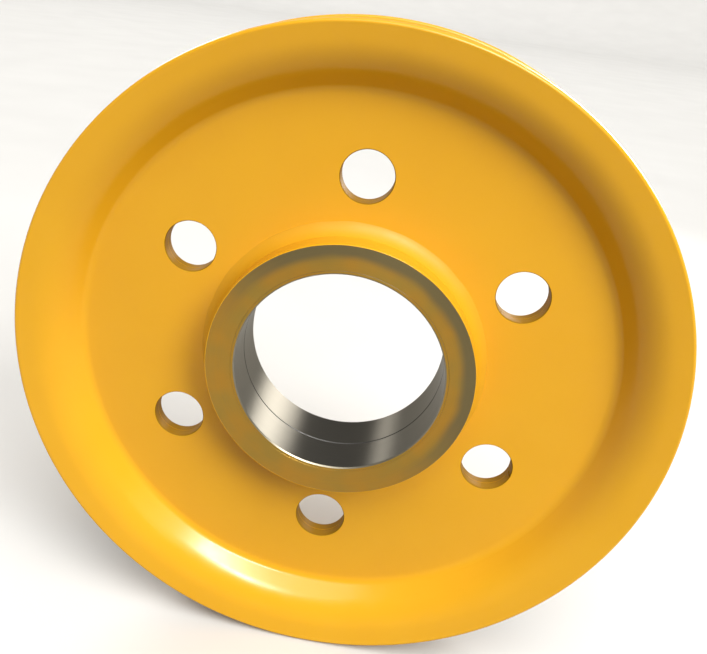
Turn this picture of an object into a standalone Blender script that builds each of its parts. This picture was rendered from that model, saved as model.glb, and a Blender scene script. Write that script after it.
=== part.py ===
"""Heavy-duty guide wheel: two pressed discs welded back to back round a bushed hub, which turns on a split
inner race.

The wheel's axis is Y, its front faces -Y and +Z is up. The origin is the wheel's centre. All sizes are in metres.
An outline is a list of (radius, axial) points, where axial is the distance from the wheel's middle plane.
"""

import math

import bmesh
import bpy

# Overall sizes
OUTER_RADIUS = 0.225
RIM_WIDTH = 0.0606
HUB_LENGTH = 0.0648
HUB_RADIUS = 0.090
BORE_RADIUS = 0.070

# Gap between pieces that touch, fit or slide on the real wheel
FIT_GAP = 0.0003

# Pressed discs
WEB_THICKNESS = 0.014
FLARE_ANGLE = math.radians(45)
CREASE_RADIUS = 0.009
SHOULDER_RADIUS = 0.028
LIP_SLOPE = math.radians(9)
LIP_LAND = 0.0095
LIP_EDGE_RADIUS = 0.002

# Lightening holes
HOLE_COUNT = 6
HOLE_RADIUS = 0.0175
HOLE_CIRCLE_RADIUS = 0.1284

# Groove ring between the two discs, and its welds
GROOVE_SAG = 0.003
GROOVE_BEAD_RADIUS = 0.002

# Hub welds
HUB_FILLET = 0.008
FILLET_TOE = 0.0005

# Split inner race
RACE_WALL = 0.005
COLLAR_HEIGHT = 0.0035
COLLAR_LENGTH = 0.008
NOSE_WALL = 0.0022
BORE_CHAMFER = 0.0012
CLIP_DEPTH = 0.0014
CLIP_HALF_WIDTH = 0.0015

# Bushes and the spacer between them
BUSH_WALL = 0.0044
SPACER_HALF_LENGTH = 0.004
SPACER_CLEARANCE = 0.0012

# Thrust rings, their spigots and seals
THRUST_FLANGE = 0.003
THRUST_EDGE = 0.0004
SPIGOT_LENGTH = 0.010
SPIGOT_WALL = 0.0042
SEAL_HEIGHT = 0.0024
SEAL_LENGTH = 0.006
SEAL_LIP = 0.001
ORING_RADIUS = 0.001
ORING_GROOVE_CLEARANCE = 0.0003

# Facets
DISC_SEGMENTS = 60
HUB_SEGMENTS = 48
HOLE_SEGMENTS = 24
SHARP_ANGLE = math.radians(32)

FRONT = -1
BACK = 1
SIDES = (("front", FRONT), ("back", BACK))

# Sizes that follow from those above
RIM_HALF = RIM_WIDTH / 2
HUB_HALF = HUB_LENGTH / 2
WEB_HALF = WEB_THICKNESS / 2
PLATE = WEB_HALF - FIT_GAP / 2
DISC_BORE_RADIUS = HUB_RADIUS + FIT_GAP

NOSE_RADIUS = BORE_RADIUS + NOSE_WALL
JOURNAL_RADIUS = BORE_RADIUS + RACE_WALL
COLLAR_RADIUS = JOURNAL_RADIUS + COLLAR_HEIGHT
BUSH_INNER = JOURNAL_RADIUS + FIT_GAP
BUSH_OUTER = BUSH_INNER + BUSH_WALL
HUB_BORE_RADIUS = BUSH_OUTER + FIT_GAP
SEAL_INNER = COLLAR_RADIUS + FIT_GAP
SEAL_OUTER = SEAL_INNER + SEAL_HEIGHT
SPIGOT_INNER = SEAL_OUTER + FIT_GAP
SPIGOT_OUTER = SPIGOT_INNER + SPIGOT_WALL
COUNTERBORE_RADIUS = SPIGOT_OUTER + FIT_GAP

FLANGE_BACK = HUB_HALF - THRUST_FLANGE
HUB_END = FLANGE_BACK - FIT_GAP
SPIGOT_END = FLANGE_BACK - SPIGOT_LENGTH
COUNTERBORE_END = SPIGOT_END - FIT_GAP
COLLAR_START = HUB_END - COLLAR_LENGTH
BUSH_START = COLLAR_START - FIT_GAP
BUSH_END = SPACER_HALF_LENGTH + FIT_GAP
SPIGOT_MIDDLE = FLANGE_BACK - SPIGOT_LENGTH / 2


def clear_scene():
    for item in list(bpy.data.objects):
        bpy.data.objects.remove(item, do_unlink=True)


def material(name, colour, roughness, metallic):
    made = bpy.data.materials.new(name)
    made.use_nodes = True
    shader = made.node_tree.nodes["Principled BSDF"]
    shader.inputs["Base Color"].default_value = (*colour, 1.0)
    shader.inputs["Roughness"].default_value = roughness
    shader.inputs["Metallic"].default_value = metallic
    return made


def yellow_paint(name):
    return material(name, (0.80, 0.38, 0.03), 0.32, 0.0)


def plain_steel(name):
    return material(name, (0.42, 0.42, 0.40), 0.38, 1.0)


def turned_steel(name):
    return material(name, (0.36, 0.27, 0.09), 0.34, 1.0)


def bronze(name):
    return material(name, (0.62, 0.40, 0.16), 0.40, 1.0)


def rubber(name):
    return material(name, (0.02, 0.02, 0.02), 0.75, 0.0)


def arc(centre, radius, start, stop, steps):
    """Points from one angle to another round a centre, both ends included. Angle 0 points along the radius."""
    turn = (stop - start) / steps
    return [
        (centre[0] + radius * math.cos(start + turn * step), centre[1] + radius * math.sin(start + turn * step))
        for step in range(steps + 1)
    ]


def facing(outline, side):
    """The outline on the wheel's front (-Y) or back (+Y) side."""
    return [(radius, side * axial) for radius, axial in outline]


def mirrored(outline):
    """An outline that starts and ends on the middle plane's bore side, closed with its own mirror image."""
    return outline + [(radius, -axial) for radius, axial in reversed(outline)]


def turned(name, outline, surface, segments=HUB_SEGMENTS):
    """One solid of revolution about Y, from a closed outline."""
    shape = bmesh.new()
    rings = []
    for step in range(segments):
        angle = 2 * math.pi * step / segments
        rings.append([
            shape.verts.new((radius * math.sin(angle), axial, radius * math.cos(angle)))
            for radius, axial in outline
        ])
    count = len(outline)
    for ring, following in zip(rings, rings[1:] + rings[:1]):
        for index in range(count):
            after = (index + 1) % count
            shape.faces.new((ring[index], ring[after], following[after], following[index]))
    bmesh.ops.recalc_face_normals(shape, faces=shape.faces)
    return placed(name, shape, surface)


def placed(name, shape, surface):
    mesh = bpy.data.meshes.new(name)
    shape.to_mesh(mesh)
    shape.free()
    mesh.materials.append(surface)
    mesh.shade_smooth()
    mesh.set_sharp_from_angle(angle=SHARP_ANGLE)
    piece = bpy.data.objects.new(name, mesh)
    bpy.context.collection.objects.link(piece)
    return piece


class Flare:
    """The rim's section: web, crease, straight flare, shoulder and lip, each with its place on the front face."""

    def __init__(self):
        crease_rise = CREASE_RADIUS * (1 - math.cos(FLARE_ANGLE))
        crease_run = CREASE_RADIUS * math.sin(FLARE_ANGLE)
        shoulder_rise = SHOULDER_RADIUS * (math.cos(LIP_SLOPE) - math.cos(FLARE_ANGLE))
        shoulder_run = SHOULDER_RADIUS * (math.sin(FLARE_ANGLE) - math.sin(LIP_SLOPE))
        self.lip_end = (
            OUTER_RADIUS - LIP_EDGE_RADIUS - (PLATE - LIP_EDGE_RADIUS) * math.sin(LIP_SLOPE),
            RIM_HALF,
        )
        shoulder_end = (
            self.lip_end[0] - LIP_LAND * math.cos(LIP_SLOPE),
            self.lip_end[1] - LIP_LAND * math.sin(LIP_SLOPE),
        )
        flare_end = (shoulder_end[0] - shoulder_run, shoulder_end[1] - shoulder_rise)
        flare_rise = flare_end[1] - WEB_HALF - crease_rise
        self.flare_run = flare_rise / math.tan(FLARE_ANGLE)
        crease_start = flare_end[0] - self.flare_run - crease_run
        self.crease_centre = (crease_start, WEB_HALF + CREASE_RADIUS)
        self.shoulder_centre = (
            flare_end[0] + SHOULDER_RADIUS * math.sin(FLARE_ANGLE),
            flare_end[1] - SHOULDER_RADIUS * math.cos(FLARE_ANGLE),
        )
        self.groove_floor = crease_start + (CREASE_RADIUS + PLATE) * math.sin(FLARE_ANGLE)
        self.groove_floor_axial = self.crease_centre[1] - (CREASE_RADIUS + PLATE) * math.cos(FLARE_ANGLE)

    def surface(self, depth):
        """The plate's face at this depth below its front face, from the crease out to the lip."""
        quarter = math.pi / 2
        crease = arc(self.crease_centre, CREASE_RADIUS + depth, -quarter, FLARE_ANGLE - quarter, 3)
        shoulder = arc(self.shoulder_centre, SHOULDER_RADIUS - depth, FLARE_ANGLE + quarter, LIP_SLOPE + quarter, 4)
        return crease + shoulder

    def lip(self):
        """The rounded end of the plate, from its front face to its back face."""
        inward = (math.sin(LIP_SLOPE), -math.cos(LIP_SLOPE))
        quarter = math.pi / 2
        points = []
        for depth, start in ((LIP_EDGE_RADIUS, LIP_SLOPE + quarter), (PLATE - LIP_EDGE_RADIUS, LIP_SLOPE)):
            centre = (self.lip_end[0] + depth * inward[0], self.lip_end[1] + depth * inward[1])
            points += arc(centre, LIP_EDGE_RADIUS, start, start - quarter, 2)
        return points


FLARE = Flare()


def disc_outline():
    """Half the web's thickness, and the flared rim that carries it on."""
    front_face = [(DISC_BORE_RADIUS, WEB_HALF)] + FLARE.surface(0)
    back_face = [(DISC_BORE_RADIUS, WEB_HALF - PLATE)] + FLARE.surface(PLATE)
    return front_face + FLARE.lip() + back_face[::-1]


def hole_cutter(index):
    """One lightening hole, right through the web."""
    angle = 2 * math.pi * index / HOLE_COUNT
    bpy.ops.mesh.primitive_cylinder_add(
        vertices=HOLE_SEGMENTS,
        radius=HOLE_RADIUS,
        depth=2 * WEB_THICKNESS,
        location=(HOLE_CIRCLE_RADIUS * math.sin(angle), 0, HOLE_CIRCLE_RADIUS * math.cos(angle)),
        rotation=(math.pi / 2, math.pi / HOLE_SEGMENTS, 0),
    )
    cutter = bpy.context.object
    cutter.name = f"hole_cutter_{index + 1}"
    cutter.hide_render = True
    cutter.display_type = "WIRE"
    return cutter


def discs():
    """The front and back pressed discs, with the same holes."""
    cutters = [hole_cutter(index) for index in range(HOLE_COUNT)]
    made = []
    for word, side in SIDES:
        disc = turned(
            f"{word}_disc", facing(disc_outline(), side), yellow_paint(f"{word}_disc_paint"), DISC_SEGMENTS
        )
        for index, cutter in enumerate(cutters):
            cut = disc.modifiers.new(f"hole_{index + 1}", "BOOLEAN")
            cut.operation = "DIFFERENCE"
            cut.object = cutter
        made.append(disc)
    return made


def groove_ring():
    """The ring that fills the bottom of the channel between the discs. Its outside is the running surface."""
    slope = math.tan(FLARE_ANGLE)
    step_in = FIT_GAP / math.cos(FLARE_ANGLE)
    floor = FLARE.groove_floor
    top = floor + FLARE.flare_run
    floor_half = FLARE.groove_floor_axial - step_in
    top_half = floor_half + (top - floor) * slope
    sweep_radius = (top_half**2 + GROOVE_SAG**2) / (2 * GROOVE_SAG)
    half_sweep = math.asin(top_half / sweep_radius)
    centre = (top - GROOVE_SAG + sweep_radius, 0)
    running = arc(centre, sweep_radius, math.pi - half_sweep, math.pi + half_sweep, 6)
    outline = [(floor, floor_half)] + running + [(floor, -floor_half)]
    return turned("groove_ring", outline, plain_steel("groove_ring_steel"), DISC_SEGMENTS)


def groove_welds():
    """A bead on each side, in the corner between the groove ring and the disc."""
    reach = SHOULDER_RADIUS - PLATE - FIT_GAP - GROOVE_BEAD_RADIUS
    radius = FLARE.groove_floor + FLARE.flare_run + FIT_GAP + GROOVE_BEAD_RADIUS
    axial = FLARE.shoulder_centre[1] + math.sqrt(reach**2 - (radius - FLARE.shoulder_centre[0]) ** 2)
    bead = arc((radius, axial), GROOVE_BEAD_RADIUS, 0, 2 * math.pi, 6)[:-1]
    return [
        turned(f"{word}_groove_weld", facing(bead, side), yellow_paint(f"{word}_groove_weld_paint"), DISC_SEGMENTS)
        for word, side in SIDES
    ]


def hub_barrel():
    """The hub's steel barrel, bored for the bushes and counterbored for the thrust rings."""
    half = [
        (HUB_BORE_RADIUS, COUNTERBORE_END),
        (COUNTERBORE_RADIUS, COUNTERBORE_END),
        (COUNTERBORE_RADIUS, HUB_END),
        (HUB_RADIUS, HUB_END),
    ]
    return turned("hub_barrel", mirrored(half), yellow_paint("hub_barrel_paint"))


def hub_welds():
    """The concave fillet weld between the hub and each disc."""
    inner = HUB_RADIUS + FIT_GAP
    foot = WEB_HALF + FIT_GAP
    centre = (inner + HUB_FILLET, foot + HUB_FILLET)
    hollow = arc(centre, HUB_FILLET - FILLET_TOE, -math.pi / 2, -math.pi, 4)
    outline = [(inner, foot), (inner + HUB_FILLET, foot)] + hollow + [(inner, foot + HUB_FILLET)]
    return [
        turned(f"{word}_hub_weld", facing(outline, side), yellow_paint(f"{word}_hub_weld_paint"))
        for word, side in SIDES
    ]


def bushes():
    """The two bronze bushes that the wheel turns on."""
    outline = [
        (BUSH_INNER, BUSH_END),
        (BUSH_OUTER, BUSH_END),
        (BUSH_OUTER, BUSH_START),
        (BUSH_INNER, BUSH_START),
    ]
    return [turned(f"{word}_bush", facing(outline, side), bronze(f"{word}_bush_bronze")) for word, side in SIDES]


def bush_spacer():
    """Keeps the bushes apart and leaves a grease space round the race joint."""
    inner = BUSH_INNER + SPACER_CLEARANCE
    half = [(inner, SPACER_HALF_LENGTH), (BUSH_OUTER, SPACER_HALF_LENGTH)]
    return turned("bush_spacer", mirrored(half), plain_steel("bush_spacer_steel"))


def thrust_rings():
    """The bare ring on each end of the hub, held by a spigot pressed into the counterbore."""
    groove_floor = SPIGOT_OUTER - 2 * ORING_RADIUS - ORING_GROOVE_CLEARANCE
    groove_half = ORING_RADIUS + ORING_GROOVE_CLEARANCE
    outline = [
        (NOSE_RADIUS + FIT_GAP, HUB_HALF),
        (HUB_RADIUS - THRUST_EDGE, HUB_HALF),
        (HUB_RADIUS, HUB_HALF - THRUST_EDGE),
        (HUB_RADIUS, FLANGE_BACK),
        (SPIGOT_OUTER, FLANGE_BACK),
        (SPIGOT_OUTER, SPIGOT_MIDDLE + groove_half),
        (groove_floor, SPIGOT_MIDDLE + groove_half),
        (groove_floor, SPIGOT_MIDDLE - groove_half),
        (SPIGOT_OUTER, SPIGOT_MIDDLE - groove_half),
        (SPIGOT_OUTER, SPIGOT_END),
        (SPIGOT_INNER, SPIGOT_END),
        (SPIGOT_INNER, FLANGE_BACK),
        (NOSE_RADIUS + FIT_GAP, FLANGE_BACK),
    ]
    return [
        turned(f"{word}_thrust_ring", facing(outline, side), turned_steel(f"{word}_thrust_ring_steel"))
        for word, side in SIDES
    ]


def orings():
    """The static seal in each spigot's groove."""
    centre = (COUNTERBORE_RADIUS - FIT_GAP - ORING_RADIUS, SPIGOT_MIDDLE)
    outline = arc(centre, ORING_RADIUS, 0, 2 * math.pi, 6)[:-1]
    return [turned(f"{word}_oring", facing(outline, side), rubber(f"{word}_oring_rubber")) for word, side in SIDES]


def seals():
    """The ring seal that turns with the thrust ring and wipes the race's collar."""
    outer_end = FLANGE_BACK - FIT_GAP
    inner_end = outer_end - SEAL_LENGTH
    outline = [
        (SEAL_INNER + SEAL_LIP, outer_end),
        (SEAL_OUTER, outer_end),
        (SEAL_OUTER, inner_end),
        (SEAL_INNER + SEAL_LIP, inner_end),
        (SEAL_INNER, (outer_end + inner_end) / 2),
    ]
    return [turned(f"{word}_seal", facing(outline, side), rubber(f"{word}_seal_rubber")) for word, side in SIDES]


def races():
    """The two halves of the inner race, which stand still on the axle and meet at the middle of the bore."""
    meeting = FIT_GAP / 2
    outline = [
        (BORE_RADIUS, meeting),
        (JOURNAL_RADIUS - CLIP_DEPTH, meeting),
        (JOURNAL_RADIUS - CLIP_DEPTH, CLIP_HALF_WIDTH + FIT_GAP),
        (JOURNAL_RADIUS, CLIP_HALF_WIDTH + FIT_GAP),
        (JOURNAL_RADIUS, COLLAR_START),
        (COLLAR_RADIUS, COLLAR_START),
        (COLLAR_RADIUS, HUB_END),
        (NOSE_RADIUS, HUB_END),
        (NOSE_RADIUS, HUB_HALF),
        (BORE_RADIUS + BORE_CHAMFER, HUB_HALF),
        (BORE_RADIUS, HUB_HALF - BORE_CHAMFER),
    ]
    return [turned(f"{word}_race", facing(outline, side), plain_steel(f"{word}_race_steel")) for word, side in SIDES]


def race_clip():
    """The thin ring that holds the two race halves together for fitting."""
    inner = JOURNAL_RADIUS - CLIP_DEPTH + FIT_GAP
    half = [(inner, CLIP_HALF_WIDTH), (JOURNAL_RADIUS + SPACER_CLEARANCE - FIT_GAP, CLIP_HALF_WIDTH)]
    return turned("race_clip", mirrored(half), plain_steel("race_clip_steel"))


def build():
    clear_scene()
    races()
    race_clip()
    turning = discs() + groove_welds() + hub_welds() + bushes() + thrust_rings() + orings() + seals()
    turning += [groove_ring(), hub_barrel(), bush_spacer()]
    axis = bpy.data.objects.new("wheel_axis", None)
    bpy.context.collection.objects.link(axis)
    for piece in turning:
        piece.parent = axis


build()
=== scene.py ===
"""Looks for the flanged roller wheel: turned pieces in the CAD frame, paint, metal, floor, light and camera.

The wheel's axis is Y, its front faces -Y and +Z is up. All sizes are in metres. An outline is a closed
list of (radius, axial) points, where axial is the distance from the wheel's middle plane.
"""

import math
from collections import namedtuple

import bmesh
import bpy
from mathutils import Matrix, Vector, noise


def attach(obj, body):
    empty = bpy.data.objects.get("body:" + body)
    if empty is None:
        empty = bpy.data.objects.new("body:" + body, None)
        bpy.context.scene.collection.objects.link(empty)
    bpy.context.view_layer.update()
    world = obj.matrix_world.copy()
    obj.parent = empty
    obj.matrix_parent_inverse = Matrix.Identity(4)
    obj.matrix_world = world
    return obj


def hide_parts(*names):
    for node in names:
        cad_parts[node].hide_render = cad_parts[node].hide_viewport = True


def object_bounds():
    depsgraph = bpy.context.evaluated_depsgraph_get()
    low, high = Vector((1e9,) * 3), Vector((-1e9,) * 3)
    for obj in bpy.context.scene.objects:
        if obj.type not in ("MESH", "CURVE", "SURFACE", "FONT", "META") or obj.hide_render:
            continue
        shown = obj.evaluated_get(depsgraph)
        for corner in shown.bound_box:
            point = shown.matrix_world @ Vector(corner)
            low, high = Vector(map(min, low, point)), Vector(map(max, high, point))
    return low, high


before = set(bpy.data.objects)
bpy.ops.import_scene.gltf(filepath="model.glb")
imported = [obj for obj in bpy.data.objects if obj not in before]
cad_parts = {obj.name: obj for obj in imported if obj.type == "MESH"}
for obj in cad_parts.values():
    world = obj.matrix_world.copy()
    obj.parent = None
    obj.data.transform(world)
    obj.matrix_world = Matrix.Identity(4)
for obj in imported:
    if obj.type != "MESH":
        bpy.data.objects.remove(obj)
CAD_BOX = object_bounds()

WHEEL = "wheel"
RACE_BODY = "inner_race"
FRONT = -1
BACK = 1
SIDES = (("front", FRONT), ("back", BACK))
QUARTER_TURN = math.pi / 2

Ring = namedtuple("Ring", "inner outer low high")


def ring_of(node):
    """A turned CAD node's radii, and how near to the middle plane it comes and how far it reaches."""
    points = [vertex.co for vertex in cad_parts[node].data.vertices]
    radii = [math.hypot(point.x, point.z) for point in points]
    axial = [abs(point.y) for point in points]
    return Ring(min(radii), max(radii), min(axial), max(axial))


# Sizes that the frame gives
DISC = ring_of("front_disc")
GROOVE = ring_of("groove_ring")
BEAD = ring_of("front_groove_weld")
HUB = ring_of("hub_barrel")
HUB_WELD = ring_of("front_hub_weld")
THRUST = ring_of("front_thrust_ring")
RACE = ring_of("front_race")
SEAL = ring_of("front_seal")
ORING = ring_of("front_oring")
CLIP = ring_of("race_clip")
FIT_GAP = 2 * RACE.low
WEB_HALF = HUB_WELD.low - FIT_GAP
PLATE = WEB_HALF - DISC.low

# The pressed rim, which flares a little more steeply than the CAD's and has a rounder shoulder
FLARE_ANGLE = math.radians(50)
CREASE_RADIUS = 0.008
SHOULDER_RADIUS = 0.035
LIP_SLOPE = math.radians(9)
LIP_LAND = 0.0095
LIP_EDGE_RADIUS = 0.002
FLAT_MARGIN = 0.001

# Lightening holes
HOLE_COUNT = 6
HOLE_RADIUS = 0.0175
HOLE_CIRCLE_RADIUS = 0.1284
HOLE_EDGE_RADIUS = 0.0009
HOLE_SEGMENTS = 72
HOLE_EDGE_STEPS = 3
WALL_LEAN = math.cos(math.radians(5))

# Hub, thrust rings and races
FILLET_TOE = 0.0001
FILLET_SAG = 0.0012
THRUST_FLANGE = 0.003
THRUST_EDGE = 0.0004
COLLAR_LENGTH = 0.008
RACE_WALL = 0.005
NOSE_GAP = 0.00006
BORE_CHAMFER = 0.0008
JOINT_CHAMFER = 0.0005
ORING_CLEARANCE = 0.0003
PAINT_LAP = 0.0001
PAINT_WANDER = 0.0001
EDGE_BREAK = 0.00005

# Channel and weld beads
GROOVE_SAG = 0.003
BEAD_SPREAD = 0.0005
BEAD_SHIFT = 0.0009
BEAD_SIDES = 12
RIPPLE_PITCH = 0.0032
RIPPLE_DEPTH = 0.00022
RIPPLE_SEGMENTS = 6
TOE_WANDER = 0.0006
WANDER_PITCH = 0.012

# Fineness
DISC_SEGMENTS = 240
HUB_SEGMENTS = 192
ARC_STEP = math.radians(5)
FEWEST_STEPS = 2
SHARP_ANGLE = math.radians(40)
SHADING_WEIGHT = 100

# How far a weld laps into its neighbours, how close two pieces come at a seam, and what counts as touching
OVERLAP = 0.0002
SEAM = 0.00005
SNAP = 0.000001

# Where a race half's finishes stand in its list of materials
GROUND_FINISH, NOSE_FINISH, MOUTH_FINISH, JOINT_FINISH = range(4)

# Camera
VIEW_DISTANCE = 0.5806
VIEW_AZIMUTH = math.radians(2.59)
VIEW_ELEVATION = math.radians(25.04)
LOOK_AZIMUTH = math.radians(4.94)
LOOK_DOWN = math.radians(20.07)
CAMERA_ROLL = math.radians(7.22)
LENS_MM = 42.38
SENSOR_MM = 36
SHIFT = (0.0456, -0.0681)

# Light. A softbox's azimuth is 0 in front of the wheel and grows to the right. One that doesn't fill shows
# only in reflections
KEY_ENERGY = 2.0
KEY_ANGLE = math.radians(30)
KEY_FROM = (0.58, -0.60, 0.55)
TOP_ENERGY = 1.7
TOP_ANGLE = math.radians(40)
TOP_FROM = (0.05, -0.40, 0.87)
BACK_ENERGY = 1.9
BACK_ANGLE = math.radians(30)
BACK_FROM = (-0.25, 0.84, 0.48)
Softbox = namedtuple("Softbox", "name azimuth elevation distance width height power fills")
SOFTBOXES = (
    Softbox("strip", math.radians(29), math.radians(45), 2.5, 1.1, 0.22, 80, False),
    Softbox("behind_right", math.radians(153), math.radians(11), 1.6, 0.70, 0.55, 13, False),
    Softbox("behind_left", math.radians(208), math.radians(14), 1.6, 0.30, 0.30, 1.3, False),
    Softbox("near_side", math.radians(50), math.radians(50), 1.3, 0.80, 0.80, 5.5, True),
)
SKY_STRENGTH = 0.31
SKY_COLOUR = (1.0, 0.98, 0.95)
LIGHT_COLOUR = (1.0, 0.98, 0.94)
FLOOR_RADIUS = 9.0
SWEEP_RADIUS = 4.0
SWEEP_ANGLE = math.radians(85)
FLOOR_SEGMENTS = 96
FLOOR_GAP = 0.0002

# Colours, linear
PAINT_COLOUR = (0.80, 0.405, 0.012)
PAINT_DEEP = (0.78, 0.388, 0.011)
PAINT_GLOSS = 0.32
# Painted shade: the hub's paint is the yellow enamel darkened
HUB_SHADE_TONE = 0.89
# Painted shade: the holes' walls are the yellow enamel darkened
HOLE_SHADE_TONE = 0.36
HOLE_GLOSS = 0.05
RING_COLOUR = (0.315, 0.200, 0.037)
RING_DEEP = (0.29, 0.188, 0.044)
# Painted reflection: the darker grey-olive band on one half of the hub ring's face
RING_REFLECTION_COLOUR = (0.158, 0.124, 0.058)
RING_STAIN = (0.44, 0.205, 0.025)
# Painted shade: the bore's ground steel is darkened for the dark surroundings that its walls mirror
SHADED_STEEL_COLOUR = (0.145, 0.137, 0.120)
SHADED_STEEL_DEEP = (0.132, 0.125, 0.110)
# Painted shade: a grey tint that dims the turned metals' reflections at grazing angles
GRAZING_SHADE_TINT = (0.60, 0.58, 0.54)
# Painted highlight: the mouth chamfer's steel is a lighter copy of the bore's steel
CHAMFER_HIGHLIGHT_COLOUR = (0.30, 0.275, 0.215)
CHAMFER_HIGHLIGHT_DEEP = (0.27, 0.25, 0.195)
# Painted shade in the joint between the race halves
JOINT_SHADE_COLOUR = (0.02, 0.018, 0.015)
RUNNING_COLOUR = (0.42, 0.41, 0.39)
RUNNING_DEEP = (0.30, 0.29, 0.27)
BRONZE_COLOUR = (0.62, 0.40, 0.16)
BRONZE_DEEP = (0.52, 0.31, 0.11)
RUBBER_COLOUR = (0.022, 0.022, 0.022)
RUBBER_DEEP = (0.014, 0.014, 0.015)
FLOOR_COLOUR = (0.70, 0.698, 0.69)
FLOOR_DEEP = (0.67, 0.668, 0.66)

# Roughness, from the smoothest to the roughest patch
PAINT_ROUGH = (0.20, 0.26)
DULL_ROUGH = (0.46, 0.54)
RING_ROUGH = (0.30, 0.36)
GROUND_ROUGH = (0.28, 0.32)
BRIGHT_ROUGH = (0.40, 0.46)
RUNNING_ROUGH = (0.32, 0.46)
JOINT_ROUGH = (0.35, 0.60)
BRONZE_ROUGH = (0.28, 0.42)
RUBBER_ROUGH = (0.60, 0.80)
FLOOR_ROUGH = 0.75

# Noise: the range that most of it lies in, and its levels of detail
NOISE_LOW = 0.3
NOISE_HIGH = 0.7
SMOOTH_DETAIL = 1
PLAIN_DETAIL = 2
FINE_DETAIL = 3

# Finishes: the size of patches and grain, the pitch of turning marks, and the height of relief
PAINT_DRIFT = 0.060
PAINT_DULLING = 0.012
PEEL_SIZE = 0.018
PEEL_HEIGHT = 0.00003
GRAIN_SIZE = 0.0020
GRAIN_HEIGHT = 0.000004
TINT_PITCH = 0.0009
ROUGH_PITCH = 0.0016
MARK_PITCH = 0.0006
GROUND_MARKS = 0.0000004
RING_MARKS = 0.000001
RUNNING_MARKS = 0.000012
REFLECTION_STRETCH = 0.55
REFLECTION_TURN = 0.25
STAIN_SIZE = 0.018
STAIN_STRENGTH = 0.55
# Painted reflection on the hub ring's face: a darker band on the half towards this direction, fading in round
# the ring's middle radius, with a wandering edge
REFLECTION_BAND_TOWARDS = (0.6, 0.0, 0.8)
REFLECTION_BAND_FADE = 0.0035
REFLECTION_BAND_WANDER = 0.0012
REFLECTION_BAND_PATCH = 0.030
# The joint's painted shade: the size of its roughness patches and of its fine relief
JOINT_PATCH_SIZE = 0.003
JOINT_SPECK_SIZE = 0.0008
JOINT_SPECK_HEIGHT = 0.00003
BRONZE_TINT_PITCH = 0.004
BRONZE_ROUGH_PITCH = 0.0015
BRONZE_MARKS = 0.000008
RUBBER_DRIFT = 0.006
RUBBER_DULLING = 0.0015
RUBBER_GRAIN = 0.0006
RUBBER_HEIGHT = 0.00002
FLOOR_PATCH = 0.25

# Where a colour mix node's sockets stand. Their names repeat for each type of value
MIX_UNDER = 6
MIX_OVER = 7
MIX_RESULT = 2


# Outlines

def arc(centre, radius, start, stop):
    """Points from one angle to another round a centre, ends included. Angle 0 points along the radius."""
    steps = max(FEWEST_STEPS, math.ceil(abs(stop - start) / ARC_STEP))
    turn = (stop - start) / steps
    angles = [start + turn * step for step in range(steps + 1)]
    return [
        (centre[0] + radius * math.cos(angle), centre[1] + radius * math.sin(angle))
        for angle in angles
    ]


def facing(outline, side):
    """The outline on the wheel's front (-Y) or back (+Y) side."""
    return [(radius, side * axial) for radius, axial in outline]


# Turned shapes

def turned(outline, segments=HUB_SEGMENTS):
    """A mesh turned about Y from a closed outline. Its vertices come ring by ring, in the outline's order."""
    shape = bmesh.new()
    rings = []
    for step in range(segments):
        angle = 2 * math.pi * step / segments
        rings.append([
            shape.verts.new((radius * math.sin(angle), axial, radius * math.cos(angle)))
            for radius, axial in outline
        ])
    count = len(outline)
    for ring, following in zip(rings, rings[1:] + rings[:1]):
        for index in range(count):
            after = (index + 1) % count
            shape.faces.new((ring[index], ring[after], following[after], following[index]))
    bmesh.ops.recalc_face_normals(shape, faces=shape.faces)
    return shape


def placed(name, shape, body, slot, surfaces, *nodes):
    """Makes the smooth piece that stands for these CAD nodes."""
    mesh = bpy.data.meshes.new(name)
    shape.to_mesh(mesh)
    shape.free()
    for surface in surfaces:
        mesh.materials.append(surface)
    mesh.shade_smooth()
    mesh.set_sharp_from_angle(angle=SHARP_ANGLE)
    piece = bpy.data.objects.new(name, mesh)
    bpy.context.scene.collection.objects.link(piece)
    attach(piece, body)
    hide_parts(*nodes)
    return piece


def even_shading(piece):
    """Leans the shading of curved edges towards the large flat faces beside them."""
    lean = piece.modifiers.new("even_shading", "WEIGHTED_NORMAL")
    lean.mode = "FACE_AREA"
    lean.weight = SHADING_WEIGHT
    lean.keep_sharp = True


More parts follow.
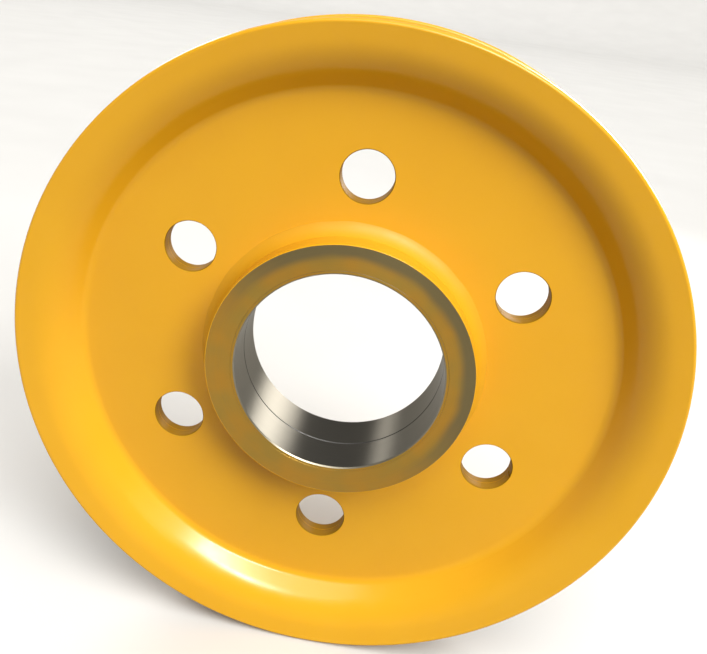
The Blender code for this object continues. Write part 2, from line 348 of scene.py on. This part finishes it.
class Flare:
    """The rim's section: web, crease, straight flare, shoulder and lip, all placed by the front face."""

    def __init__(self):
        crease_rise = CREASE_RADIUS * (1 - math.cos(FLARE_ANGLE))
        crease_run = CREASE_RADIUS * math.sin(FLARE_ANGLE)
        shoulder_rise = SHOULDER_RADIUS * (math.cos(LIP_SLOPE) - math.cos(FLARE_ANGLE))
        shoulder_run = SHOULDER_RADIUS * (math.sin(FLARE_ANGLE) - math.sin(LIP_SLOPE))
        self.lip_end = (
            DISC.outer - LIP_EDGE_RADIUS - (PLATE - LIP_EDGE_RADIUS) * math.sin(LIP_SLOPE),
            DISC.high,
        )
        shoulder_end = (
            self.lip_end[0] - LIP_LAND * math.cos(LIP_SLOPE),
            self.lip_end[1] - LIP_LAND * math.sin(LIP_SLOPE),
        )
        flare_end = (shoulder_end[0] - shoulder_run, shoulder_end[1] - shoulder_rise)
        flare_rise = flare_end[1] - WEB_HALF - crease_rise
        flare_run = flare_rise / math.tan(FLARE_ANGLE)
        self.crease_centre = (flare_end[0] - flare_run - crease_run, WEB_HALF + CREASE_RADIUS)
        self.shoulder_centre = (
            flare_end[0] + SHOULDER_RADIUS * math.sin(FLARE_ANGLE),
            flare_end[1] - SHOULDER_RADIUS * math.cos(FLARE_ANGLE),
        )

    def surface(self, depth):
        """The plate's face at this depth below its front face, from the crease out to the lip."""
        crease = arc(self.crease_centre, CREASE_RADIUS + depth, -QUARTER_TURN, FLARE_ANGLE - QUARTER_TURN)
        start = FLARE_ANGLE + QUARTER_TURN
        shoulder = arc(self.shoulder_centre, SHOULDER_RADIUS - depth, start, LIP_SLOPE + QUARTER_TURN)
        return crease + shoulder

    def lip(self):
        """The rounded end of the plate, from its front face to its back face."""
        inward = (math.sin(LIP_SLOPE), -math.cos(LIP_SLOPE))
        front_edge = (LIP_EDGE_RADIUS, LIP_SLOPE + QUARTER_TURN)
        back_edge = (PLATE - LIP_EDGE_RADIUS, LIP_SLOPE)
        points = []
        for depth, start in (front_edge, back_edge):
            centre = (self.lip_end[0] + depth * inward[0], self.lip_end[1] + depth * inward[1])
            points += arc(centre, LIP_EDGE_RADIUS, start, start - QUARTER_TURN)
        return points


FLARE = Flare()


# Discs

def disc_outline():
    """Half the web's thickness, and the flared rim that carries it on."""
    flat_end = FLARE.crease_centre[0] - FLAT_MARGIN
    front_face = [(DISC.inner, WEB_HALF), (flat_end, WEB_HALF)] + FLARE.surface(0)
    back_face = [(DISC.inner, WEB_HALF - PLATE)] + FLARE.surface(PLATE)
    return front_face + FLARE.lip() + back_face[::-1]


def hole_profile():
    """A hole cutter's outline from below the plate to above it: straight, then rounded out at the face."""
    mouth = HOLE_RADIUS + HOLE_EDGE_RADIUS
    foot = WEB_HALF - HOLE_EDGE_RADIUS
    straight = [(HOLE_RADIUS, -WEB_HALF), (HOLE_RADIUS, foot)]
    angles = [math.pi - QUARTER_TURN * step / HOLE_EDGE_STEPS for step in range(1, HOLE_EDGE_STEPS)]
    rounding = [
        (mouth + HOLE_EDGE_RADIUS * math.cos(angle), foot + HOLE_EDGE_RADIUS * math.sin(angle))
        for angle in angles
    ]
    return straight + rounding + [(mouth, WEB_HALF + FIT_GAP), (mouth, 2 * WEB_HALF)]


def hole_cutter(index, side):
    """One lightening hole's shape, to cut from the disc on this side."""
    angle = 2 * math.pi * index / HOLE_COUNT
    spot = Vector((HOLE_CIRCLE_RADIUS * math.sin(angle), 0, HOLE_CIRCLE_RADIUS * math.cos(angle)))
    turns = [2 * math.pi * (step + 1 / 2) / HOLE_SEGMENTS for step in range(HOLE_SEGMENTS)]
    shape = bmesh.new()
    rings = []
    for radius, axial in facing(hole_profile(), side):
        rings.append([
            shape.verts.new(spot + Vector((radius * math.sin(turn), axial, radius * math.cos(turn))))
            for turn in turns
        ])
    for ring, following in zip(rings, rings[1:]):
        for step in range(HOLE_SEGMENTS):
            after = (step + 1) % HOLE_SEGMENTS
            shape.faces.new((ring[step], ring[after], following[after], following[step]))
    shape.faces.new(rings[0])
    shape.faces.new(rings[-1])
    bmesh.ops.recalc_face_normals(shape, faces=shape.faces)
    mesh = bpy.data.meshes.new(f"hole_cutter_{index + 1}")
    shape.to_mesh(mesh)
    shape.free()
    cutter = bpy.data.objects.new(mesh.name, mesh)
    bpy.context.scene.collection.objects.link(cutter)
    return cutter


def cut_holes(piece, side):
    """Cuts the six holes and leaves the result as the piece's own mesh."""
    cutters = [hole_cutter(index, side) for index in range(HOLE_COUNT)]
    for cutter in cutters:
        cut = piece.modifiers.new(cutter.name, "BOOLEAN")
        cut.object = cutter
    bpy.context.view_layer.update()
    graph = bpy.context.evaluated_depsgraph_get()
    mesh = bpy.data.meshes.new_from_object(piece.evaluated_get(graph))
    piece.modifiers.clear()
    piece.data = mesh
    mesh.shade_smooth()
    mesh.set_sharp_from_angle(angle=SHARP_ANGLE)
    for cutter in cutters:
        bpy.data.objects.remove(cutter)


def hole_walls(piece):
    """Gives the walls of the lightening holes the second paint, which is darker, as painted shade, and
    duller.
    """
    mesh = piece.data
    pitch = 2 * math.pi / HOLE_COUNT
    for face in mesh.polygons:
        middle = face.center
        nearest = pitch * round(math.atan2(middle.x, middle.z) / pitch)
        away = math.hypot(
            middle.x - HOLE_CIRCLE_RADIUS * math.sin(nearest),
            middle.z - HOLE_CIRCLE_RADIUS * math.cos(nearest),
        )
        face.material_index = int(away < HOLE_RADIUS + HOLE_EDGE_RADIUS and abs(face.normal.y) < WALL_LEAN)


def pressed_discs(paint, hole_shade_paint):
    """The front and back discs, with their holes cut."""
    for word, side in SIDES:
        shape = turned(facing(disc_outline(), side), DISC_SEGMENTS)
        surfaces = [paint, hole_shade_paint]
        piece = placed(f"{word}_pressed_disc", shape, WHEEL, "yellow_paint", surfaces, f"{word}_disc")
        cut_holes(piece, side)
        hole_walls(piece)
        even_shading(piece)


# Groove

def running_ring(steel):
    """The ring at the bottom of the channel, with its hollow running surface."""
    top_half = GROOVE.high
    slope = math.tan(FLARE_ANGLE)
    floor_half = top_half - (GROOVE.outer - GROOVE.inner) * slope
    sweep_radius = (top_half**2 + GROOVE_SAG**2) / (2 * GROOVE_SAG)
    half_sweep = math.asin(top_half / sweep_radius)
    centre = (GROOVE.outer - GROOVE_SAG + sweep_radius, 0)
    running = arc(centre, sweep_radius, math.pi - half_sweep, math.pi + half_sweep)
    outline = [(GROOVE.inner, floor_half)] + running + [(GROOVE.inner, -floor_half)]
    piece = placed(
        "running_ring", turned(outline, DISC_SEGMENTS), WHEEL, "running_steel", [steel], "groove_ring"
    )
    even_shading(piece)


def rippled(shape, centre, depth):
    """Lays a weld's ripples along the bead, towards and away from the bead's own centre line."""
    around = 2 * math.pi * centre[0]
    count = round(around / RIPPLE_PITCH)
    for vertex in shape.verts:
        angle = math.atan2(vertex.co.x, vertex.co.z)
        core = Vector((centre[0] * math.sin(angle), centre[1], centre[0] * math.cos(angle)))
        ripple = abs(math.sin(angle * count / 2)) + noise.noise(core / RIPPLE_PITCH)
        away = (vertex.co - core).normalized()
        vertex.co += away * depth * (ripple - 1)


def groove_beads(paint):
    """A bead on each side, in the corner between the running ring and the disc."""
    radius = (BEAD.outer - BEAD.inner) / 2 + BEAD_SPREAD
    centre = ((BEAD.outer + BEAD.inner) / 2, (BEAD.high + BEAD.low) / 2 + BEAD_SHIFT)
    segments = round(2 * math.pi * centre[0] / RIPPLE_PITCH) * RIPPLE_SEGMENTS
    turns = [2 * math.pi * step / BEAD_SIDES for step in range(BEAD_SIDES)]
    for word, side in SIDES:
        middle = (centre[0], side * centre[1])
        outline = [
            (middle[0] + radius * math.cos(turn), middle[1] + radius * math.sin(turn))
            for turn in turns
        ]
        shape = turned(outline, segments)
        rippled(shape, middle, RIPPLE_DEPTH)
        placed(f"{word}_rim_bead", shape, WHEEL, "yellow_paint", [paint], f"{word}_groove_weld")


# Hub

def barrel(paint):
    """The hub's barrel, counterbored for the thrust rings, with its ends drawn up close to their flanges."""
    counterbore = ORING.outer + FIT_GAP
    end = THRUST.high - THRUST_FLANGE - SEAM
    half = [(HUB.inner, HUB.low), (counterbore, HUB.low), (counterbore, end), (HUB.outer, end)]
    outline = half + [(radius, -axial) for radius, axial in reversed(half)]
    piece = placed("hub_tube", turned(outline), WHEEL, "yellow_paint", [paint], "hub_barrel")
    even_shading(piece)


def wandering(shape, inner, outer, amount):
    """Lets a ring's outer edge wander a little in and out, as a hand-laid weld's toe does."""
    for vertex in shape.verts:
        radius = math.hypot(vertex.co.x, vertex.co.z)
        reach = max(0, (radius - inner) / (outer - inner))
        heading = Vector((vertex.co.x, 0, vertex.co.z)) / radius
        shift = amount * reach * noise.noise(heading * outer / WANDER_PITCH)
        vertex.co += heading * shift


def hub_fillets(paint):
    """The dressed fillet weld at each foot of the hub: a shallow hollow between the hub and the web."""
    leg = HUB_WELD.outer - HUB_WELD.inner
    foot = WEB_HALF + FILLET_TOE
    slant = leg * math.sqrt(2) / 2
    half_sweep = 2 * math.atan(FILLET_SAG / slant)
    radius = slant / math.sin(half_sweep)
    away = (slant + radius * math.cos(half_sweep)) / math.sqrt(2)
    middle = math.pi + math.pi / 4
    hollow = arc((HUB.outer + away, foot + away), radius, middle + half_sweep, middle - half_sweep)
    inner = HUB.outer - OVERLAP
    outline = [(inner, WEB_HALF - OVERLAP), (HUB.outer + leg, WEB_HALF - OVERLAP)] + hollow
    outline += [(inner, foot + leg)]
    for word, side in SIDES:
        shape = turned(facing(outline, side))
        wandering(shape, HUB_WELD.inner, HUB_WELD.outer, TOE_WANDER)
        placed(f"{word}_hub_fillet", shape, WHEEL, "yellow_paint", [paint], f"{word}_hub_weld")


def thrust_outline():
    """A thrust ring: the flange with its rounded outer edge, then the spigot with its O-ring groove."""
    flange_back = THRUST.high - THRUST_FLANGE
    spigot_inner = SEAL.outer + FIT_GAP
    groove_floor = ORING.inner - ORING_CLEARANCE
    groove_low = ORING.low - ORING_CLEARANCE
    groove_high = ORING.high + ORING_CLEARANCE
    edge = arc((THRUST.outer - THRUST_EDGE, THRUST.high - THRUST_EDGE), THRUST_EDGE, QUARTER_TURN, 0)
    return [
        (THRUST.inner, THRUST.high - EDGE_BREAK),
        (THRUST.inner + EDGE_BREAK, THRUST.high),
        (THRUST.outer - THRUST_EDGE - PAINT_LAP, THRUST.high),
    ] + edge + [
        (THRUST.outer, flange_back),
        (ORING.outer, flange_back),
        (ORING.outer, groove_high),
        (groove_floor, groove_high),
        (groove_floor, groove_low),
        (ORING.outer, groove_low),
        (ORING.outer, THRUST.low),
        (spigot_inner, THRUST.low),
        (spigot_inner, flange_back),
        (THRUST.inner, flange_back),
    ]


def painted_edge(piece):
    """Paints the flange's rim, up to an edge that wanders slightly on the face."""
    mesh = piece.data
    limit = THRUST.outer - THRUST_EDGE - PAINT_LAP
    back = THRUST.high - THRUST_FLANGE
    for face in mesh.polygons:
        corners = [mesh.vertices[index].co for index in face.vertices]
        outside = all(math.hypot(corner.x, corner.z) > limit - SNAP for corner in corners)
        forward = all(abs(corner.y) > back - SNAP for corner in corners)
        face.material_index = int(outside and forward)
    for vertex in mesh.vertices:
        radius = math.hypot(vertex.co.x, vertex.co.z)
        if abs(radius - limit) < SNAP:
            heading = Vector((vertex.co.x, 0, vertex.co.z)) / radius
            vertex.co += heading * PAINT_WANDER * noise.noise(heading * radius / WANDER_PITCH)


def thrust_rings(metal, paint):
    """The turned ring on each end of the hub, bare on its face and painted on its rim."""
    for word, side in SIDES:
        shape = turned(facing(thrust_outline(), side))
        piece = placed(
            f"{word}_turned_ring", shape, WHEEL, "turned_ring_face", [metal, paint], f"{word}_thrust_ring"
        )
        painted_edge(piece)
        even_shading(piece)


def race_outline():
    """A race half: joint with the other half, clip groove, journal, collar, nose, mouth chamfer and bore."""
    bore = RACE.inner
    journal = bore + RACE_WALL
    nose = THRUST.inner - NOSE_GAP
    return [
        (bore + JOINT_CHAMFER, RACE.low),
        (CLIP.inner - FIT_GAP, RACE.low),
        (CLIP.inner - FIT_GAP, CLIP.high + FIT_GAP),
        (journal, CLIP.high + FIT_GAP),
        (journal, HUB.high - COLLAR_LENGTH),
        (RACE.outer, HUB.high - COLLAR_LENGTH),
        (RACE.outer, HUB.high),
        (nose, HUB.high),
        (nose, RACE.high - EDGE_BREAK),
        (nose - EDGE_BREAK, RACE.high),
        (bore + BORE_CHAMFER, RACE.high),
        (bore, RACE.high - BORE_CHAMFER),
        (bore, RACE.low + JOINT_CHAMFER),
    ]


def finish_by_place(piece):
    """Picks each race face's finish: ground bore, turned nose, mouth chamfer with its painted highlight, or
    joint chamfer painted dark as shade.
    """
    mesh = piece.data
    for face in mesh.polygons:
        middle = face.center
        radius = math.hypot(middle.x, middle.z)
        axial = abs(middle.y)
        chamfered = RACE.inner + SNAP < radius < RACE.inner + BORE_CHAMFER - SNAP
        finish = GROUND_FINISH
        if axial > RACE.high - SNAP:
            finish = NOSE_FINISH
        elif chamfered and axial > RACE.high - BORE_CHAMFER:
            finish = MOUTH_FINISH
        elif chamfered and axial < RACE.low + JOINT_CHAMFER:
            finish = JOINT_FINISH
        face.material_index = finish


def race_halves(ground, nose, highlight_chamfer, joint):
    """The front and back halves of the race that lines the bore."""
    for word, side in SIDES:
        shape = turned(facing(race_outline(), side))
        surfaces = [ground, nose, highlight_chamfer, joint]
        piece = placed(f"{word}_race_half", shape, RACE_BODY, "ground_steel", surfaces, f"{word}_race")
        finish_by_place(piece)
        even_shading(piece)


# Materials

def new_material(name, colour, roughness, metallic=0):
    """A material, its node tree and its shader."""
    made = bpy.data.materials.new(name)
    made.use_nodes = True
    shader = made.node_tree.nodes["Principled BSDF"]
    shader.inputs["Base Color"].default_value = (*colour, 1)
    shader.inputs["Roughness"].default_value = roughness
    shader.inputs["Metallic"].default_value = metallic
    return made, made.node_tree, shader


def add(tree, kind, **settings):
    """A new node with these settings."""
    made = tree.nodes.new(kind)
    for name, value in settings.items():
        setattr(made, name, value)
    return made


def place_of(tree):
    """Where the surface point is, in metres in the wheel's own frame."""
    return add(tree, "ShaderNodeTexCoord").outputs["Object"]


def blotches(tree, size, detail=PLAIN_DETAIL):
    """Noise whose patches are about this size in metres, from 0 to 1."""
    made = add(tree, "ShaderNodeTexNoise")
    made.inputs["Scale"].default_value = 1 / size
    made.inputs["Detail"].default_value = detail
    tree.links.new(place_of(tree), made.inputs["Vector"])
    return made.outputs["Fac"]


def from_axis(tree):
    """The surface point's distance from the wheel's axis, and its place along the axis."""
    split = add(tree, "ShaderNodeSeparateXYZ")
    tree.links.new(place_of(tree), split.inputs[0])
    flat = add(tree, "ShaderNodeCombineXYZ")
    tree.links.new(split.outputs["X"], flat.inputs["X"])
    tree.links.new(split.outputs["Z"], flat.inputs["Z"])
    radius = add(tree, "ShaderNodeVectorMath", operation="LENGTH")
    tree.links.new(flat.outputs[0], radius.inputs[0])
    return radius.outputs["Value"], split.outputs["Y"]


def maths(tree, operation, first, second):
    """A maths node on two values."""
    made = add(tree, "ShaderNodeMath", operation=operation)
    tree.links.new(first, made.inputs[0])
    tree.links.new(second, made.inputs[1])
    return made.outputs[0]


def lathe_marks(tree, pitch, detail=PLAIN_DETAIL):
    """Noise that changes only across the turning marks: along the radius on a face, the axis in a bore."""
    made = add(tree, "ShaderNodeTexNoise", noise_dimensions="1D")
    made.inputs["Scale"].default_value = 1 / pitch
    made.inputs["Detail"].default_value = detail
    radius, axial = from_axis(tree)
    tree.links.new(maths(tree, "ADD", radius, axial), made.inputs["W"])
    return made.outputs["Fac"]


def spread(tree, factor, low, high):
    """Stretches the noise's usual range over the range from low to high."""
    made = add(tree, "ShaderNodeMapRange")
    made.inputs["From Min"].default_value = NOISE_LOW
    made.inputs["From Max"].default_value = NOISE_HIGH
    made.inputs["To Min"].default_value = low
    made.inputs["To Max"].default_value = high
    tree.links.new(factor, made.inputs["Value"])
    return made.outputs["Result"]


def ramp(tree, value, low, high):
    """Rises smoothly from 0 to 1 while the value goes from low to high."""
    made = add(tree, "ShaderNodeMapRange", interpolation_type="SMOOTHSTEP")
    made.inputs["From Min"].default_value = low
    made.inputs["From Max"].default_value = high
    tree.links.new(value, made.inputs["Value"])
    return made.outputs["Result"]


def tinted(tree, shader, factor, first, second):
    """Lets the base colour drift between two close colours."""
    made = add(tree, "ShaderNodeMix", data_type="RGBA")
    made.inputs[MIX_UNDER].default_value = (*first, 1)
    made.inputs[MIX_OVER].default_value = (*second, 1)
    tree.links.new(spread(tree, factor, 0, 1), made.inputs["Factor"])
    tree.links.new(made.outputs[MIX_RESULT], shader.inputs["Base Color"])


def overlaid(tree, shader, factor, colour):
    """Lays another colour over the base colour, as far as the factor says."""
    under = shader.inputs["Base Color"].links[0].from_socket
    made = add(tree, "ShaderNodeMix", data_type="RGBA")
    tree.links.new(factor, made.inputs["Factor"])
    tree.links.new(under, made.inputs[MIX_UNDER])
    made.inputs[MIX_OVER].default_value = (*colour, 1)
    tree.links.new(made.outputs[MIX_RESULT], shader.inputs["Base Color"])


def embossed(tree, shader, *layers):
    """Adds relief to the surface, one (noise, height in metres) layer on another."""
    under = None
    for factor, height in layers:
        made = add(tree, "ShaderNodeBump")
        made.inputs["Strength"].default_value = 1
        made.inputs["Distance"].default_value = height
        tree.links.new(factor, made.inputs["Height"])
        if under:
            tree.links.new(under, made.inputs["Normal"])
        under = made.outputs["Normal"]
    tree.links.new(under, shader.inputs["Normal"])


def rough_from(tree, shader, factor, rough):
    """Lets the roughness drift between its two ends."""
    tree.links.new(spread(tree, factor, *rough), shader.inputs["Roughness"])


def enamel(name, rough, tone=1, gloss=PAINT_GLOSS):
    """Yellow enamel with slight orange peel and a slow drift in shade. A tone under 1 darkens it."""
    colour = [channel * tone for channel in PAINT_COLOUR]
    deep = [channel * tone for channel in PAINT_DEEP]
    made, tree, shader = new_material(name, colour, rough[0])
    shader.inputs["Specular IOR Level"].default_value = gloss
    tinted(tree, shader, blotches(tree, PAINT_DRIFT), colour, deep)
    rough_from(tree, shader, blotches(tree, PAINT_DULLING), rough)
    peel = (blotches(tree, PEEL_SIZE, SMOOTH_DETAIL), PEEL_HEIGHT)
    grain = (blotches(tree, GRAIN_SIZE, SMOOTH_DETAIL), GRAIN_HEIGHT)
    embossed(tree, shader, peel, grain)
    return made


def turned_metal(name, colour, deep, rough, marks):
    """Metal with fine turning marks, this high, round the wheel's axis."""
    made, tree, shader = new_material(name, colour, rough[0], metallic=1)
    shader.inputs["Anisotropic"].default_value = REFLECTION_STRETCH
    shader.inputs["Anisotropic Rotation"].default_value = REFLECTION_TURN
    # Painted shade: the grey tint dims reflections at grazing angles
    shader.inputs["Specular Tint"].default_value = (*GRAZING_SHADE_TINT, 1)
    tangent = add(tree, "ShaderNodeTangent", direction_type="RADIAL", axis="Y")
    tree.links.new(tangent.outputs[0], shader.inputs["Tangent"])
    tinted(tree, shader, lathe_marks(tree, TINT_PITCH, FINE_DETAIL), colour, deep)
    rough_from(tree, shader, lathe_marks(tree, ROUGH_PITCH), rough)
    embossed(tree, shader, (lathe_marks(tree, MARK_PITCH), marks))
    return made


def painted_reflection_band(tree, shader):
    """Painted reflection: lays a darker grey-olive band over the outer part of a hub ring's face, on the half
    that faces up and to the right.
    """
    heading = add(tree, "ShaderNodeVectorMath", operation="DOT_PRODUCT")
    tree.links.new(place_of(tree), heading.inputs[0])
    heading.inputs[1].default_value = REFLECTION_BAND_TOWARDS
    half = ramp(tree, heading.outputs["Value"], -THRUST.outer / 2, THRUST.outer / 2)
    radius = from_axis(tree)[0]
    wander = spread(tree, blotches(tree, REFLECTION_BAND_PATCH, SMOOTH_DETAIL), -REFLECTION_BAND_WANDER, REFLECTION_BAND_WANDER)
    middle = (THRUST.inner + THRUST.outer) / 2
    outer = ramp(tree, maths(tree, "ADD", radius, wander), middle - REFLECTION_BAND_FADE, middle + REFLECTION_BAND_FADE)
    overlaid(tree, shader, maths(tree, "MULTIPLY", half, outer), RING_REFLECTION_COLOUR)


def ring_face():
    """Turned metal under a gold oil film, with a few orange stains and a painted reflection: a darker band on
    one half.
    """
    made = turned_metal("turned_ring_face", RING_COLOUR, RING_DEEP, RING_ROUGH, RING_MARKS)
    tree = made.node_tree
    shader = tree.nodes["Principled BSDF"]
    stains = spread(tree, blotches(tree, STAIN_SIZE, SMOOTH_DETAIL), 0, STAIN_STRENGTH)
    overlaid(tree, shader, stains, RING_STAIN)
    painted_reflection_band(tree, shader)
    return made


def painted_joint_shade():
    """Painted shade: near-black colour on the chamfers where the race halves meet, with patchy roughness and
    a fine relief.
    """
    made, tree, shader = new_material("joint_painted_shade", JOINT_SHADE_COLOUR, JOINT_ROUGH[0])
    rough_from(tree, shader, blotches(tree, JOINT_PATCH_SIZE), JOINT_ROUGH)
    embossed(tree, shader, (blotches(tree, JOINT_SPECK_SIZE), JOINT_SPECK_HEIGHT))
    return made


def bush_bronze():
    """Turned bronze."""
    made, tree, shader = new_material("machined_bronze", BRONZE_COLOUR, BRONZE_ROUGH[0], metallic=1)
    tinted(tree, shader, lathe_marks(tree, BRONZE_TINT_PITCH), BRONZE_COLOUR, BRONZE_DEEP)
    rough_from(tree, shader, lathe_marks(tree, BRONZE_ROUGH_PITCH), BRONZE_ROUGH)
    embossed(tree, shader, (lathe_marks(tree, MARK_PITCH), BRONZE_MARKS))
    return made


def seal_rubber():
    """Black rubber with a fine grain."""
    made, tree, shader = new_material("black_nitrile", RUBBER_COLOUR, RUBBER_ROUGH[0])
    tinted(tree, shader, blotches(tree, RUBBER_DRIFT), RUBBER_COLOUR, RUBBER_DEEP)
    rough_from(tree, shader, blotches(tree, RUBBER_DULLING), RUBBER_ROUGH)
    embossed(tree, shader, (blotches(tree, RUBBER_GRAIN), RUBBER_HEIGHT))
    return made


def repaint(surface, *nodes):
    """Gives a carried-over CAD node its better material."""
    for node in nodes:
        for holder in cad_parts[node].material_slots:
            holder.material = surface


# Floor, light and camera

def floor():
    """A wide pale floor that curves up far away, to hide the horizon. It throws no diffuse light."""
    surface, tree, shader = new_material("pale_floor", FLOOR_COLOUR, FLOOR_ROUGH)
    tinted(tree, shader, blotches(tree, FLOOR_PATCH), FLOOR_COLOUR, FLOOR_DEEP)
    level = CAD_BOX[0].z - FLOOR_GAP
    centre = (FLOOR_RADIUS, level + SWEEP_RADIUS)
    rise = arc(centre, SWEEP_RADIUS, -QUARTER_TURN, -QUARTER_TURN + SWEEP_ANGLE)
    turns = [2 * math.pi * step / FLOOR_SEGMENTS for step in range(FLOOR_SEGMENTS)]
    shape = bmesh.new()
    rings = []
    for radius, height in rise:
        rings.append([
            shape.verts.new((radius * math.cos(turn), radius * math.sin(turn), height))
            for turn in turns
        ])
    shape.faces.new(rings[0])
    for ring, following in zip(rings, rings[1:]):
        for step in range(FLOOR_SEGMENTS):
            after = (step + 1) % FLOOR_SEGMENTS
            shape.faces.new((ring[step], following[step], following[after], ring[after]))
    mesh = bpy.data.meshes.new("floor")
    shape.to_mesh(mesh)
    shape.free()
    mesh.materials.append(surface)
    mesh.shade_smooth()
    piece = bpy.data.objects.new("floor", mesh)
    bpy.context.scene.collection.objects.link(piece)
    piece.visible_diffuse = False


def aimed(made, come_from):
    """Turns a light so that it shines from this direction towards the wheel."""
    made.rotation_mode = "QUATERNION"
    made.rotation_quaternion = Vector(come_from).to_track_quat("Z", "Y")


def sun(name, come_from, energy, angle, glossy=True):
    """A distant light. One that isn't glossy leaves no reflection of itself."""
    data = bpy.data.lights.new(name, "SUN")
    data.energy = energy
    data.angle = angle
    data.color = LIGHT_COLOUR
    made = bpy.data.objects.new(name, data)
    bpy.context.scene.collection.objects.link(made)
    made.visible_glossy = glossy
    aimed(made, come_from)


def softbox(box):
    """A rectangular light that fills the shadows, or a highlight panel that shows only in reflections."""
    data = bpy.data.lights.new(box.name, "AREA")
    data.shape = "RECTANGLE"
    data.energy = box.power
    data.size = box.width
    data.size_y = box.height
    data.color = LIGHT_COLOUR
    made = bpy.data.objects.new(box.name, data)
    bpy.context.scene.collection.objects.link(made)
    come_from = direction(box.azimuth, box.elevation)
    made.location = come_from * box.distance
    made.visible_camera = False
    made.visible_diffuse = box.fills
    made.visible_glossy = not box.fills
    aimed(made, come_from)


def sky():
    """An even pale sky."""
    world = bpy.data.worlds.new("studio")
    bpy.context.scene.world = world
    world.use_nodes = True
    background = world.node_tree.nodes["Background"]
    background.inputs["Color"].default_value = (*SKY_COLOUR, 1)
    background.inputs["Strength"].default_value = SKY_STRENGTH


def lights():
    """Three suns and the softboxes."""
    sun("key", KEY_FROM, KEY_ENERGY, KEY_ANGLE, glossy=False)
    sun("top", TOP_FROM, TOP_ENERGY, TOP_ANGLE)
    sun("back", BACK_FROM, BACK_ENERGY, BACK_ANGLE, glossy=False)
    for box in SOFTBOXES:
        softbox(box)


def direction(azimuth, elevation):
    """A unit vector: azimuth 0 points to the front, and grows to the right."""
    return Vector((
        math.sin(azimuth) * math.cos(elevation),
        -math.cos(azimuth) * math.cos(elevation),
        math.sin(elevation),
    ))


def camera():
    """The photo's point of view, as fitted to the wheel's outlines."""
    data = bpy.data.cameras.new("camera")
    data.lens = LENS_MM
    data.sensor_width = SENSOR_MM
    data.shift_x, data.shift_y = SHIFT
    made = bpy.data.objects.new("camera", data)
    bpy.context.scene.collection.objects.link(made)
    centre = (CAD_BOX[0] + CAD_BOX[1]) / 2
    turn = Matrix.Rotation(LOOK_AZIMUTH, 4, "Z")
    tilt = Matrix.Rotation(QUARTER_TURN - LOOK_DOWN, 4, "X")
    roll = Matrix.Rotation(CAMERA_ROLL, 4, "Z")
    spot = centre + VIEW_DISTANCE * direction(VIEW_AZIMUTH, VIEW_ELEVATION)
    made.matrix_world = Matrix.Translation(spot) @ turn @ tilt @ roll
    bpy.context.scene.camera = made


def build():
    """Makes the materials, the pieces and their setting."""
    paint = enamel("yellow_enamel", PAINT_ROUGH)
    # Painted shade: the hub's enamel and the holes' walls are darkened copies of the yellow enamel
    dull_shaded_paint = enamel("dull_shaded_enamel", DULL_ROUGH, HUB_SHADE_TONE)
    hole_shade_paint = enamel("hole_shaded_enamel", DULL_ROUGH, HOLE_SHADE_TONE, HOLE_GLOSS)
    ring = ring_face()
    # Painted shade: the ground steel's colour is darkened
    ground = turned_metal("ground_steel", SHADED_STEEL_COLOUR, SHADED_STEEL_DEEP, GROUND_ROUGH, GROUND_MARKS)
    highlight_chamfer = turned_metal("chamfer_painted_highlight", CHAMFER_HIGHLIGHT_COLOUR, CHAMFER_HIGHLIGHT_DEEP, BRIGHT_ROUGH, GROUND_MARKS)
    running = turned_metal("running_steel", RUNNING_COLOUR, RUNNING_DEEP, RUNNING_ROUGH, RUNNING_MARKS)
    pressed_discs(paint, hole_shade_paint)
    running_ring(running)
    groove_beads(paint)
    barrel(dull_shaded_paint)
    hub_fillets(dull_shaded_paint)
    thrust_rings(ring, paint)
    race_halves(ground, ring, highlight_chamfer, painted_joint_shade())
    repaint(ground, "race_clip", "bush_spacer")
    repaint(bush_bronze(), "front_bush", "back_bush")
    repaint(seal_rubber(), "front_seal", "back_seal", "front_oring", "back_oring")
    floor()
    sky()
    lights()
    camera()
    bpy.context.scene.view_settings.view_transform = "Standard"


build()
